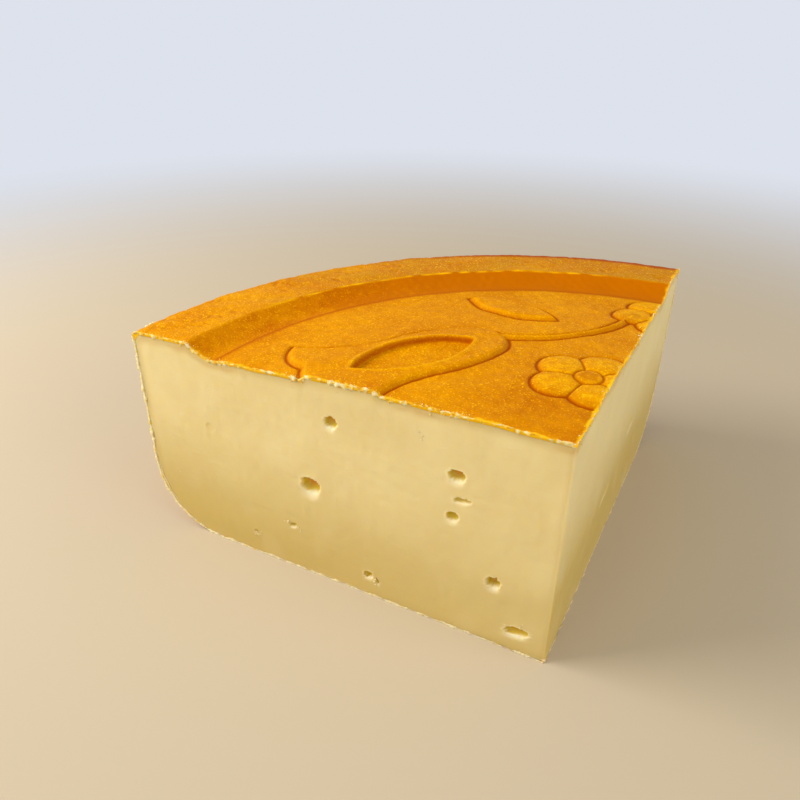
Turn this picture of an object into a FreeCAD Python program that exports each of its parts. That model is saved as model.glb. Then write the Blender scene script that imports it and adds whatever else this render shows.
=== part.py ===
"""Quarter wheel of semi-hard cheese: one solid, cut from a round wheel by two cuts at a right angle.

Millimetres, +Z up. The wheel's axis stands at the tip, where the two cuts meet. The front cut faces -Y,
the right cut faces +X, and the round heel of the wheel lies behind them. The origin is the centre of the
underside. The top carries a flat rim, a hollow step down to a gently domed field, and a moulded relief on
that field: a bellflower cut by the front cut, with its stem and leaf, and round-petalled blossoms cut by
the right cut. The eyes of the paste open on both cuts.
"""
import FreeCAD, Part
import math
import os
import Sketcher

NODE = "cheese_quarter"
Vector = FreeCAD.Vector

SIZES = {
    # the wheel
    "wheel_radius": 160.0,
    "rim_height": 82.6,        # height of the rim at its outer edge
    "rim_rise": 0.6,           # how much higher the rim is at the step
    "rim_width": 24.4,
    "rim_round": 1.6,          # radius of the outer top edge
    "step_run": 11.7,          # width of the slope between rim and field
    "step_drop": 4.0,
    "crown_rise": 4.7,         # rise of the field from the step to the tip
    "base_round": 27.5,        # radius of the heel's lower edge
    # the relief
    "relief_height": 1.2,
    "relief_sink": 1.1,
    "petal_radius": 8.4,
    "petal_ring": 10.4,        # from a blossom's centre to the centres of its petals
    "boss_radius": 4.4,        # the button in the middle of a blossom
    "stem_width": 3.4,
}

# Each eye: the cut it opens on, its place as a share of the wheel's radius from the tip and as a share of
# the rim's height from the base, the radius of its bubble, how far the bubble's middle lies behind the cut
# (below 0 is in front of it), and the number of bubbles that ran together side by side.
EYES = {
    "eye_upper": ("front", 0.489, 0.822, 2.4, 0.6, 1),
    "eye_pair_top": ("front", 0.211, 0.754, 2.6, 0.7, 1),
    "eye_pair_slit": ("front", 0.196, 0.654, 1.5, 0.3, 2),
    "eye_pair_low": ("front", 0.215, 0.562, 2.1, 0.2, 1),
    "eye_middle": ("front", 0.546, 0.479, 3.8, 0.8, 1),
    "eye_low_slit": ("front", 0.602, 0.235, 1.7, 0.1, 1),
    "eye_shallow": ("front", 0.708, 0.114, 2.6, -1.9, 1),
    "eye_foot": ("front", 0.399, 0.105, 2.2, 0.5, 1),
    "eye_deep": ("front", 0.123, 0.315, 2.5, 1.4, 1),
    "eye_tip": ("front", 0.063, 0.104, 2.6, 0.3, 2),
    "eye_side_high": ("right", 0.615, 0.449, 4.0, -3.2, 1),
    "eye_side_low": ("right", 0.374, 0.324, 4.0, -3.3, 1),
}
BUBBLE_SPACING = 1.10              # from one bubble of an eye to the next, in shares of their radius

# The relief is drawn in shares of the field's radius, from the tip: x is negative to the left along the
# front cut, y runs to the back. An outline runs anticlockwise, and each corner is followed by the bow of
# the edge that leaves it, as a share of that edge's length, with outwards positive. A motif is drawn
# along its own axis, then turned and put in its place.
BELL = [
    (0.000, 0.220, 0.18), (-0.030, 0.075, 0.16), (-0.030, -0.075, 0.18), (0.000, -0.220, -0.10),
    (0.250, -0.125, 0.07), (0.480, -0.100, 0.34), (0.480, 0.100, 0.07), (0.250, 0.125, -0.10),
]
BELL_MOUTH = (-0.665, 0.030)       # the middle of the bell's mouth
BELL_TURN = 55.0                   # direction from the mouth to the stem, in degrees
BELL_WINDOW = [(0.080, 0.000, 0.22), (0.450, 0.000, 0.22)]
LEAF = [(0.000, 0.000, 0.20), (0.320, 0.000, 0.20)]
LEAF_BASE = (-0.245, 0.665)
LEAF_TURN = 168.0
STEM_ENDS = ((-0.375, 0.460), (-0.055, 0.810))
STEM_BOW = 0.15
BLOSSOM_CENTRE = (-0.060, 0.315)
BLOSSOM_TURN = 8.0
BUD_CENTRE = (0.030, 0.850)
BUD_TURN = 128.0

QUARTER_BOW = math.tan(math.pi / 8) / 2      # the bow of a quarter of a circle
SLOPE_BOW = 0.07                             # how hollow the step's slope is
CLEAR = "5"                                  # how far a cutting form stands clear of the surface it cuts

# Places that several forms share, as expressions on the sheet of sizes.
FIELD_RADIUS = "(Sizes.wheel_radius - Sizes.rim_width - Sizes.step_run)"
LEDGE_HEIGHT = "(Sizes.rim_height + Sizes.rim_rise)"
FIELD_EDGE = f"({LEDGE_HEIGHT} - Sizes.step_drop)"
CROWN = f"({FIELD_EDGE} + Sizes.crown_rise)"
DOME_RADIUS = f"(({FIELD_RADIUS} ^ 2 + Sizes.crown_rise ^ 2) / (2 * Sizes.crown_rise))"


def new_document():
    """The document and its sheet of sizes, one alias for each size."""
    doc = FreeCAD.newDocument("cheese_quarter_wheel")
    sheet = doc.addObject("Spreadsheet::Sheet", "Sizes")
    sizes = dict(SIZES)
    for eye, (_, _, _, bubble_radius, behind_cut, _) in EYES.items():
        sizes[f"{eye}_radius"] = bubble_radius
        sizes[f"{eye}_behind_cut"] = behind_cut
    for row, (name, value) in enumerate(sizes.items(), start=1):
        sheet.set(f"A{row}", name)
        sheet.set(f"B{row}", str(value))
        sheet.setAlias(f"B{row}", name)
    doc.recompute()
    return doc


def new_sketch(body, name, role):
    """A sketch on one of the body's own origin planes."""
    sketch = body.newObject("Sketcher::SketchObject", name)
    plane = next(feature for feature in body.Origin.OriginFeatures if feature.Role == role)
    sketch.AttachmentSupport = [(plane, "")]
    sketch.MapMode = "FlatFace"
    return sketch


def bind(sketch, constraint, name, expression):
    """Adds a constraint whose value follows an expression on the sheet."""
    index = sketch.addConstraint(constraint)
    sketch.renameConstraint(index, name)
    sketch.setExpression(f"Constraints.{name}", expression)


def draw_outline(sketch, corners):
    """A closed anticlockwise outline of lines and arcs.

    A corner is (x, y, bow) with x and y as expressions. The edge that leaves it is a line where the bow
    is 0, an arc that bows outwards where it is above 0, and one that bows inwards where it is below.
    A fourth entry, where there is one, is the arc's radius as an expression.
    """
    places = []
    for corner in corners:
        x = float(sketch.evalExpression(corner[0]))
        y = float(sketch.evalExpression(corner[1]))
        places.append(Vector(x, y, 0))
    count = len(corners)
    for index, corner in enumerate(corners):
        start = places[index]
        end = places[(index + 1) % count]
        bow = corner[2]
        if bow == 0:
            sketch.addGeometry(Part.LineSegment(start, end))
        else:
            chord = end - start
            outwards = Vector(chord.y, -chord.x, 0)
            sketch.addGeometry(Part.Arc(start, (start + end) * 0.5 + outwards * bow, end))
    # a sketch keeps every arc anticlockwise, so one that bows inwards starts at its far end
    first_point = [2 if corner[2] < 0 else 1 for corner in corners]
    for index, corner in enumerate(corners):
        after = (index + 1) % count
        last_point = 3 - first_point[index]
        joint = Sketcher.Constraint("Coincident", index, last_point, after, first_point[after])
        sketch.addConstraint(joint)
    for index, corner in enumerate(corners):
        point = first_point[index]
        place = places[index]
        across = Sketcher.Constraint("DistanceX", -1, 1, index, point, place.x)
        along = Sketcher.Constraint("DistanceY", -1, 1, index, point, place.y)
        bind(sketch, across, f"x_{index}", corner[0])
        bind(sketch, along, f"y_{index}", corner[1])
        if corner[2] != 0:
            radius = corner[3] if len(corner) > 3 else arc_radius(corner, corners[(index + 1) % count])
            value = float(sketch.evalExpression(radius))
            bind(sketch, Sketcher.Constraint("Radius", index, value), f"radius_{index}", radius)


def arc_radius(corner, after):
    """The radius of the arc between two corners, as an expression of their places and its bow."""
    bow = abs(corner[2])
    share = (1 + 4 * bow * bow) / (8 * bow)
    return f"sqrt(({after[0]} - {corner[0]}) ^ 2 + ({after[1]} - {corner[1]}) ^ 2) * {share:.9f}"


def quarter_turn(doc, name, corners):
    """A body: a half section drawn left of the wheel's axis and turned a quarter towards the back."""
    body = doc.addObject("PartDesign::Body", name)
    sketch = new_sketch(body, f"{name}_section", "XZ_Plane")
    draw_outline(sketch, corners)
    turn = body.newObject("PartDesign::Revolution", f"{name}_turn")
    turn.Profile = sketch
    turn.ReferenceAxis = (sketch, ["V_Axis"])
    turn.Angle = 90
    turn.Reversed = True
    return body


def wheel_block(doc):
    """The quarter wheel without relief or eyes."""
    radius = "Sizes.wheel_radius"
    return quarter_turn(doc, "wheel_block", [
        ("0", "0", 0),
        ("0", CROWN, dome_bow(doc), DOME_RADIUS),
        (f"(-{FIELD_RADIUS})", FIELD_EDGE, -SLOPE_BOW),
        (f"(Sizes.rim_width - {radius})", LEDGE_HEIGHT, 0),
        (f"(Sizes.rim_round - {radius})", "Sizes.rim_height", QUARTER_BOW),
        (f"(-{radius})", "(Sizes.rim_height - Sizes.rim_round)", 0),
        (f"(-{radius})", "Sizes.base_round", QUARTER_BOW),
        (f"(Sizes.base_round - {radius})", "0", 0),
    ])


def dome_bow(doc):
    """The bow of the field's arc, which runs level at the wheel's axis."""
    rise = float(doc.Sizes.crown_rise)
    field_radius = float(doc.Sizes.evalExpression(FIELD_RADIUS))
    return math.tan(math.atan2(rise, field_radius) / 2) / 2


def raised_band(doc):
    """The field raised by the height of the relief: what the raised motifs are cut from."""
    low = f"({FIELD_EDGE} - {CLEAR})"
    return quarter_turn(doc, "raised_band", [
        ("0", low, 0),
        ("0", f"({CROWN} + Sizes.relief_height)", dome_bow(doc), DOME_RADIUS),
        (f"(-{FIELD_RADIUS})", f"({FIELD_EDGE} + Sizes.relief_height)", 0),
        (f"(-{FIELD_RADIUS})", low, 0),
    ])


def sunk_band(doc):
    """All that lies above the field once it is lowered: what the sunk motifs take away."""
    high = f"({CROWN} + {CLEAR})"
    return quarter_turn(doc, "sunk_band", [
        ("0", f"({CROWN} - Sizes.relief_sink)", 0),
        ("0", high, 0),
        (f"(-{FIELD_RADIUS})", high, 0),
        (f"(-{FIELD_RADIUS})", f"({FIELD_EDGE} - Sizes.relief_sink)", -dome_bow(doc), DOME_RADIUS),
    ])


def placed(corners, place, turn):
    """A motif's corners turned and put in place, as expressions on the field's radius."""
    cos, sin = math.cos(math.radians(turn)), math.sin(math.radians(turn))
    result = []
    for x, y, bow in corners:
        share_x = place[0] + x * cos - y * sin
        share_y = place[1] + x * sin + y * cos
        result.append((f"({FIELD_RADIUS} * {share_x:.6f})", f"({FIELD_RADIUS} * {share_y:.6f})", bow))
    return result


def prism(doc, name, corners):
    """A motif's outline carried straight up through the field."""
    body = doc.addObject("PartDesign::Body", name)
    sketch = new_sketch(body, f"{name}_outline", "XY_Plane")
    draw_outline(sketch, corners)
    pad = body.newObject("PartDesign::Pad", f"{name}_pad")
    pad.Profile = sketch
    pad.setExpression("Length", f"{CROWN} + 2 * {CLEAR}")
    return body


def stem_corners():
    """A band that bows between two ends, as wide as the stem all the way."""
    (x_start, y_start), (x_end, y_end) = STEM_ENDS
    length = math.dist(*STEM_ENDS)
    across = ((y_start - y_end) / length, (x_end - x_start) / length)
    half = "Sizes.stem_width / 2"
    sides = [
        (STEM_ENDS[0], 1, 0),
        (STEM_ENDS[0], -1, -STEM_BOW),
        (STEM_ENDS[1], -1, 0),
        (STEM_ENDS[1], 1, STEM_BOW),
    ]
    corners = []
    for (x, y), side, bow in sides:
        corners.append((
            f"({FIELD_RADIUS} * {x:.6f} + {half} * {side * across[0]:.6f})",
            f"({FIELD_RADIUS} * {y:.6f} + {half} * {side * across[1]:.6f})",
            bow,
        ))
    return corners


def round_blossom(doc, name, centre, turn, count, span):
    """Round petals set about a button, padded straight up through the field."""
    body = doc.addObject("PartDesign::Body", name)
    pads = []
    circles = {"button": ("0", "Sizes.boss_radius"), "petal": ("Sizes.petal_ring", "Sizes.petal_radius")}
    for part, (offset, radius) in circles.items():
        sketch = new_sketch(body, f"{name}_{part}_outline", "XY_Plane")
        sketch.setExpression("AttachmentOffset.Base.x", f"{FIELD_RADIUS} * {centre[0]}")
        sketch.setExpression("AttachmentOffset.Base.y", f"{FIELD_RADIUS} * {centre[1]}")
        sketch.setExpression("AttachmentOffset.Rotation.Angle", f"{turn}")
        x = float(sketch.evalExpression(offset))
        value = float(sketch.evalExpression(radius))
        sketch.addGeometry(Part.Circle(Vector(x, 0, 0), Vector(0, 0, 1), value))
        bind(sketch, Sketcher.Constraint("Radius", 0, value), "radius", radius)
        if part == "petal":
            sketch.addConstraint(Sketcher.Constraint("PointOnObject", 0, 3, -1))
            bind(sketch, Sketcher.Constraint("DistanceX", -1, 1, 0, 3, x), "ring", offset)
        else:
            sketch.addConstraint(Sketcher.Constraint("Coincident", 0, 3, -1, 1))
        pad = body.newObject("PartDesign::Pad", f"{name}_{part}")
        pad.Profile = sketch
        pad.setExpression("Length", f"{CROWN} + 2 * {CLEAR}")
        pads.append(pad)
    doc.recompute()
    ring = body.newObject("PartDesign::PolarPattern", f"{name}_ring")
    ring.Originals = [pads[-1]]
    ring.Axis = (pads[-1].Profile[0], ["N_Axis"])
    ring.Angle = span
    ring.Occurrences = count
    body.Tip = ring
    return body


def eye(doc, name):
    """One eye: round bubbles in a row along the cut that it opens on."""
    cut, along, up, _, _, count = EYES[name]
    bubbles = []
    for index in range(count):
        bubble = doc.addObject("Part::Sphere", f"{name}_bubble")
        shift = BUBBLE_SPACING * (index - (count - 1) / 2)
        place = f"Sizes.wheel_radius * {along} + Sizes.{name}_radius * {shift}"
        bubble.setExpression("Radius", f"Sizes.{name}_radius")
        if cut == "front":
            bubble.setExpression("Placement.Base.x", f"-({place})")
            bubble.setExpression("Placement.Base.y", f"Sizes.{name}_behind_cut")
        else:
            bubble.setExpression("Placement.Base.x", f"-Sizes.{name}_behind_cut")
            bubble.setExpression("Placement.Base.y", place)
        bubble.setExpression("Placement.Base.z", f"Sizes.rim_height * {up}")
        bubbles.append(bubble)
    return bubbles


def joined(doc, kind, name, shapes):
    """One boolean of several forms."""
    result = doc.addObject(kind, name)
    result.Shapes = shapes
    return result


def cheese_quarter(doc):
    """The block, with its raised motifs on and its sunk motif and eyes taken out."""
    block = wheel_block(doc)
    raised = joined(doc, "Part::MultiFuse", "raised_motifs", [
        prism(doc, "bell", placed(BELL, BELL_MOUTH, BELL_TURN)),
        prism(doc, "leaf", placed(LEAF, LEAF_BASE, LEAF_TURN)),
        prism(doc, "stem", stem_corners()),
        round_blossom(doc, "blossom", BLOSSOM_CENTRE, BLOSSOM_TURN, 5, 360),
        round_blossom(doc, "bud", BUD_CENTRE, BUD_TURN, 3, 144),
    ])
    relief = joined(doc, "Part::MultiCommon", "relief", [raised, raised_band(doc)])
    window = joined(doc, "Part::MultiCommon", "window", [
        prism(doc, "window_prism", placed(BELL_WINDOW, BELL_MOUTH, BELL_TURN)),
        sunk_band(doc),
    ])
    bubbles = [bubble for name in EYES for bubble in eye(doc, name)]
    cavities = joined(doc, "Part::MultiFuse", "cavities", [window] + bubbles)
    solid = doc.addObject("Part::Cut", NODE)
    solid.Base = joined(doc, "Part::MultiFuse", "block_with_relief", [block, relief])
    solid.Tool = cavities
    solid.setExpression("Placement.Base.x", "Sizes.wheel_radius / 2")
    solid.setExpression("Placement.Base.y", "-Sizes.wheel_radius / 2")
    return solid


def check(doc, solid):
    """Stops unless every object was made and the part is one sound solid."""
    for item in doc.Objects:
        if "Invalid" in item.State or "Error" in item.State:
            raise RuntimeError(f"{item.Name} failed: {item.State}")
    if solid.Shape.isNull() or not solid.Shape.isValid():
        raise RuntimeError("the solid is not sound")
    if len(solid.Shape.Solids) != 1:
        raise RuntimeError(f"{len(solid.Shape.Solids)} solids instead of one")
    block = doc.wheel_block.Shape.Volume
    motifs = doc.relief.Shape.cut(doc.wheel_block.Shape).Volume
    taken = doc.cavities.Shape.common(doc.block_with_relief.Shape).Volume
    if motifs <= 0 or taken <= 0 or abs(block + motifs - taken - solid.Shape.Volume) > 1:
        raise RuntimeError("the relief or the eyes were not made")


def main():
    doc = new_document()
    solid = cheese_quarter(doc)
    doc.recompute()
    check(doc, solid)
    os.makedirs("parts", exist_ok=True)
    solid.Shape.exportStep(f"parts/{NODE}.step")
    print(f"{NODE}: {solid.Shape.Volume / 1e6:.4f} litres, {len(solid.Shape.Faces)} faces")


main()
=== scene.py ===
"""Quarter wheel of semi-hard cheese: its paste, its rind with the moulded relief, and its torn edges."""
import math

import bpy
import numpy as np
from bpy.props import FloatProperty, FloatVectorProperty, PointerProperty
from mathutils import Matrix, Vector


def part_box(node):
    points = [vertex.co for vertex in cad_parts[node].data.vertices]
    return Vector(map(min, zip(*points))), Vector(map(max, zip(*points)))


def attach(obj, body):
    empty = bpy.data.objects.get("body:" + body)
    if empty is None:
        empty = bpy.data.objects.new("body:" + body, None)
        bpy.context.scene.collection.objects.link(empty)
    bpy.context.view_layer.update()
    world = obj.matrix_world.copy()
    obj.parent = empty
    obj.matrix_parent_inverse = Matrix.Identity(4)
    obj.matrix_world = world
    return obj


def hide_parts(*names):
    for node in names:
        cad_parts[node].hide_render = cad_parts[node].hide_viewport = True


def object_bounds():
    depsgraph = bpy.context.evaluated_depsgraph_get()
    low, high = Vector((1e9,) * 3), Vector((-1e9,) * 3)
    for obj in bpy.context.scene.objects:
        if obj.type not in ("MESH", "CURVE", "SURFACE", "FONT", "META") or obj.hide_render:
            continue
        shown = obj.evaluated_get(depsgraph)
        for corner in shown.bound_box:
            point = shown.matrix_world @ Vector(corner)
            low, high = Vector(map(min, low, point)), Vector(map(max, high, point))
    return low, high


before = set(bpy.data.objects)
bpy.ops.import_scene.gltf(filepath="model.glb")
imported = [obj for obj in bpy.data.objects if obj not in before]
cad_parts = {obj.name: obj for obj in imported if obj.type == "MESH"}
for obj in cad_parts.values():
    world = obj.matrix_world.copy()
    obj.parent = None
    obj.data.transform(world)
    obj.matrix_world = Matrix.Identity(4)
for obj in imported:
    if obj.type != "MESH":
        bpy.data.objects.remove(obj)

bl_info = {
    "name": "Cheese quarter wheel",
    "version": (1, 0, 0),
    "blender": (4, 5, 0),
    "location": "View3D > Sidebar > Cheese",
    "description": "Builds a quarter of a semi-hard cheese wheel with a moulded rind",
    "category": "Add Mesh",
}

NODE = "cheese_quarter"
MM = 0.001
CAD_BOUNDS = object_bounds()
LOW, HIGH = (np.array(corner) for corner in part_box(NODE))
WHEEL_RADIUS = float(HIGH[0] - LOW[0])
APEX = np.array([HIGH[0], LOW[1], 0.0])       # the foot of the wheel's axis, where the two cuts meet

# The relief, in shares of the field's radius from the wheel's axis: x is negative to the left along the
# front cut and y runs to the back. An outline runs anticlockwise, and each corner is followed by the bow of
# the edge that leaves it, as a share of that edge's length, with outwards positive.
BELL = [
    (0.000, 0.220, 0.18), (-0.030, 0.075, 0.16), (-0.030, -0.075, 0.18), (0.000, -0.220, -0.10),
    (0.250, -0.125, 0.07), (0.480, -0.100, 0.34), (0.480, 0.100, 0.07), (0.250, 0.125, -0.10),
]
BELL_MOUTH, BELL_TURN = (-0.665, 0.030), 55.0
BELL_WINDOW = [(0.080, 0.000, 0.22), (0.450, 0.000, 0.22)]
LEAF = [(0.000, 0.000, 0.20), (0.320, 0.000, 0.20)]
LEAF_BASE, LEAF_TURN = (-0.245, 0.665), 168.0
STEM_ENDS, STEM_BOW = ((-0.375, 0.460), (-0.055, 0.810)), 0.15
# Each flower: its centre, the turn of its first petal, its number of petals, and the angle that they fill.
FLOWERS = [((-0.060, 0.315), 8.0, 5, 360), ((0.030, 0.850), 128.0, 3, 144)]

# Each eye of the paste: its place along the cut from the tip and above the base, half its width and height,
# its depth, all in millimetres, its tilt in degrees, and how ragged its edge is.
FRONT_EYES = [
    (78.2, 68.1, 2.4, 2.1, 2.0, 10.0, 0.14),
    (33.7, 62.6, 2.9, 2.1, 2.1, -4.0, 0.14),
    (31.5, 54.0, 3.0, 0.9, 1.2, -10.0, 0.30),
    (34.6, 46.9, 2.2, 1.8, 1.6, -8.0, 0.08),
    (87.6, 40.1, 3.8, 3.3, 2.8, -6.0, 0.10),
    (96.4, 19.4, 1.6, 0.9, 1.2, -24.0, 0.40),
    (113.3, 9.8, 1.2, 1.0, 0.5, 20.0, 0.50),
    (65.2, 9.3, 1.9, 1.5, 1.9, -20.0, 0.35),
    (61.6, 7.9, 0.5, 1.5, 1.2, -14.0, 0.15),
    (19.6, 26.2, 2.3, 2.2, 3.0, -12.0, 0.18),
    (10.4, 8.9, 4.1, 1.9, 1.8, -8.0, 0.24),
    (129.8, 51.2, 1.9, 1.8, 0.18, 0.0, 0.30),
]
RIGHT_EYES = [
    (98.5, 37.1, 5.6, 2.4, 0.7, 12.0, 0.30),
    (59.8, 26.8, 5.4, 1.8, 0.6, 8.0, 0.30),
]
# Crumbs on the front cut: their place along it and above the base, how far they spread, in millimetres, and
# how many there are.
FACE_FLECKS = [
    (99.0, 20.0, 0.7, 5), (93.6, 19.0, 0.6, 5), (113.0, 9.4, 0.9, 7), (148.2, 25.9, 0.3, 2),
    (62.6, 6.9, 0.8, 6), (9.0, 12.0, 0.5, 2), (46.0, 73.5, 1.2, 3),
]
# Each torn edge: its piece, its cut, its border, its share of the torn edge's width, how much it breaks up,
# how pale it is, and the seed of its patterns.
TORN_EDGES = [
    ("torn_edge_front_top", "front", "top", 0.85, 0.9, 0.46, 71),
    ("torn_edge_right_top", "right", "top", 0.5, 0.6, 0.38, 81),
    ("torn_edge_front_heel", "front", "heel", 0.85, 0.25, 1.1, 91),
    ("torn_edge_right_heel", "right", "heel", 0.6, 0.3, 1.1, 101),
]
EYE_LIP = 0.12 * MM                # how proud the paste stands round an eye
TIP_ROUND = 1.6 * MM               # radius of the worn edge where the two cuts meet
PASTE_BELOW = 0.35 * MM            # how far the paste ends under the rind's skin
GROOVE_DEPTH = 0.50 * MM           # the groove round each motif
GROOVE_WIDTH = 0.62 * MM
HALO_SHARE = 0.34                  # wash that lingers beside a groove, and how far it reaches
HALO_WIDTH = 2.2 * MM
BEAD_HEIGHT = 0.32 * MM            # the bead round the bell's window
CREASE_DEPTH = 0.24 * MM           # the rim's slanting creases
CREASE_SPACING = 3.4 * MM
CRUMB_COUNT = 1200                 # crumbs thrown along the top edges; those beside the torn parts stay
FLAKE_COUNT = 9                    # crumbs of the flake near the corner of the rim
SKIN_STEP = 10                     # vertices of a skin's outside to each one of its inside

# The numbers that the meshes carry for their materials.
# Rind: wash in the grooves, pressed dots, how near the knife bared it, wash and painted shade (below 0, thin
# wash and painted sparkle), painted highlights on raised edges and petals, and painted shade on the far rim.
RIND_SHADES = ("groove", "stipple", "near_cut", "wash", "worn", "dry")
# Paste: how far inside an eye (painted shade and glow), its lip's painted highlight, the distance to the
# rind, knife smears with painted highlights, denser paste with painted shade low down, and wash the knife
# drew down.
PASTE_SHADES = ("eye", "eye_highlight", "rind_gap", "smear_and_sheen", "settled_and_shade", "rubbed")

# The camera, in wheel radii from the tip at the foot of the wheel's axis, and its turns in degrees.
CAMERA_PLACE = (0.20501, -1.02496, 1.18947)
CAMERA_PITCH, CAMERA_YAW, CAMERA_ROLL = 60.0, 27.60, 0.28
CAMERA_LENS = 32.72
# Each light: its name, its place and its side in metres, its power in watts, and its colour.
LIGHTS = [
    ("key", (-0.60, -0.30, 0.54), 0.5, 6.5, "fffaf2"),
    ("fill", (0.10, -1.2, 0.70), 1.2, 3.05, "fffdf8"),
    ("side", (1.1, -0.1, 0.48), 1.0, 5.1, "fffaf2"),
]
FLOOR_SIDE = 12.0                  # metres
FLOOR_FADES = (0.22, 0.75)         # where the floor starts and ends turning into the background, in metres


def linear(code):
    """The linear colour of an sRGB hex value: a straight line near black, and a power above it."""
    channels = np.array([int(code[at:at + 2], 16) for at in (0, 2, 4)]) / 255
    bright = ((channels + 0.055) / 1.055) ** 2.4
    return (*np.where(channels <= 0.04045, channels / 12.92, bright).tolist(), 1.0)


def length_property(name, default, description):
    """A size in metres, as the panel shows it."""
    return FloatProperty(
        name=name, description=description, default=default, min=0.0, unit="LENGTH", precision=5)


def colour_property(name, code, description):
    """A colour, as the panel shows it."""
    return FloatVectorProperty(
        name=name, description=description, default=linear(code), size=4, min=0.0, max=1.0, subtype="COLOR")


class CheeseSizes(bpy.types.PropertyGroup):
    """Sizes of the wheel, its relief and its torn edges."""

    wheel_radius: length_property("Wheel radius", WHEEL_RADIUS, "From the tip to the heel")
    rim_height: length_property("Rim height", 82.6 * MM, "Height of the rim at its outer edge")
    rim_rise: length_property("Rim rise", 0.6 * MM, "How much higher the rim is at the step")
    rim_width: length_property("Rim width", 24.4 * MM, "Flat rim, from the heel to the step")
    rim_round: length_property("Rim rounding", 2.2 * MM, "Radius of the outer top edge")
    step_run: length_property("Step width", 11.7 * MM, "Width of the slope between rim and field")
    step_drop: length_property("Step drop", 4.0 * MM, "How far the field lies below the rim")
    crown_rise: length_property("Crown rise", 4.7 * MM, "Rise of the field from the step to the tip")
    base_round: length_property("Base rounding", 27.5 * MM, "Radius of the heel's lower edge")
    relief_height: length_property("Relief height", 1.2 * MM, "How proud the motifs stand")
    relief_sink: length_property("Relief depth", 1.1 * MM, "How deep the bell's window lies")
    petal_radius: length_property("Petal radius", 8.4 * MM, "Radius of a blossom's petal")
    petal_ring: length_property("Petal ring", 10.4 * MM, "From a blossom's centre to its petals")
    boss_radius: length_property("Button radius", 4.4 * MM, "Radius of a blossom's button")
    stem_width: length_property("Stem width", 3.4 * MM, "Width of the bell's stem")
    rind_thickness: length_property("Rind thickness", 1.0 * MM, "Thickness of the coloured skin")
    torn_width: length_property("Torn edge", 0.95 * MM, "Half the width of the crumbly line on the cuts")


class CheeseColours(bpy.types.PropertyGroup):
    """Colours of the rind, the paste and the stage."""

    rind: colour_property("Rind", "e69a02", "The washed rind")
    # also painted shade: the slope, the field near the tip and the step's foot darken towards this colour
    rind_deep: colour_property("Rind, deep", "c26a00", "Patches where the wash is thick")
    # painted shade: the far part of the rim, away from the light, darkens towards this colour
    rind_dry: colour_property("Rind, dry", "cc9010", "The far part of the rim, where the wash dried dull")
    # painted glints and highlights: the grain's tops, the ledge, the bead and the petals lighten to this
    rind_painted_glint: colour_property("Rind, grain", "ffc20c", "Tops of the grain, where the wash is rubbed thin")
    rind_speck: colour_property("Rind, specks", "bd6a02", "Bottoms of the grain, where the wash is thick")
    rind_groove: colour_property("Rind, grooves", "a84502", "Wash gathered in the grooves")
    rind_cut: colour_property("Rind, at a cut", "ffc61a", "Where the knife bared the skin's inside")
    paste: colour_property("Paste", "eddba1", "The upper part of the paste")
    # partly painted shade: the paste darkens towards this colour low down, most on the right cut
    paste_low_shaded: colour_property("Paste, low", "c8ad5a", "The denser paste near the underside")
    # partly painted shade: also darkens the paste near the heel and the underside
    paste_edge: colour_property("Paste, near rind", "d3b56a", "The drier paste under the rind")
    # painted glow: brighter and more saturated than the paste, for light shining through an eye's wall
    paste_eye_glow: colour_property("Paste, in an eye", "d8ba00", "The smooth oily wall of an eye")
    paste_hollow: colour_property("Paste, deep in an eye", "de8600", "The shaded middle of a deep eye")
    paste_rubbed: colour_property("Paste, rubbed", "c9943a", "Where the knife drew wash down from the rind")
    # painted highlight: the lower lip of an eye where it faces the light, and the pale smears
    paste_lip_highlight: colour_property("Paste, at an eye", "fdf3cf", "The pale lip where the knife left an eye")
    torn: colour_property("Torn edge", "f8dfa8", "Crumbled paste along the edges")
    floor: colour_property("Floor", "c6b8a0", "The plain floor")
    background: colour_property("Background", "dde2ec", "The plain background")


def ripple(points, size, seed, waves=30):
    """A smooth random pattern about 0 with bumps of one size: sine waves summed in random directions."""
    rng = np.random.default_rng(seed)
    direction = rng.normal(size=(waves, 3))
    direction /= np.linalg.norm(direction, axis=1, keepdims=True)
    turns = direction * (2 * math.pi / (size * rng.uniform(1.4, 3.2, (waves, 1))))
    return np.sin(points @ turns.T + rng.uniform(0, 2 * math.pi, waves)).sum(-1) * math.sqrt(2 / waves)


def blend_up(value, start, end):
    """0 below start, 1 above end, and a smooth cubic between them."""
    share = np.clip((value - start) / (end - start), 0, 1)
    return share * share * (3 - 2 * share)


def bell_curve(value, width):
    """1 at 0, falling smoothly to both sides: e to the minus square of the value over the width."""
    return np.exp(-(value / width) ** 2)


def field_radius(sizes):
    """Radius of the field, from the wheel's axis to the foot of the step."""
    return sizes.wheel_radius - sizes.rim_width - sizes.step_run


def ledge_height(sizes):
    """Height of the rim where it meets the step."""
    return sizes.rim_height + sizes.rim_rise


def bowed_outline(corners, place, turn, scale):
    """A closed outline: each edge is an arc of a circle over its chord, turned, put in place and scaled."""
    spread = np.linspace(-1, 1, 24, endpoint=False)
    points = np.array([corner[:2] for corner in corners])
    runs = []
    for index, start in enumerate(points):
        chord = points[(index + 1) % len(points)] - start
        outwards = np.array([chord[1], -chord[0]])
        half_angle = 2 * math.atan(2 * corners[index][2])
        radius = 0.5 / math.sin(half_angle)
        along = radius * np.sin(spread * half_angle)
        across = radius * (np.cos(spread * half_angle) - math.cos(half_angle))
        runs.append(start + chord / 2 + along[:, None] * chord + across[:, None] * outwards)
    cos, sin = math.cos(math.radians(turn)), math.sin(math.radians(turn))
    return (np.concatenate(runs) @ np.array([[cos, sin], [-sin, cos]]) + np.array(place)) * scale


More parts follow.
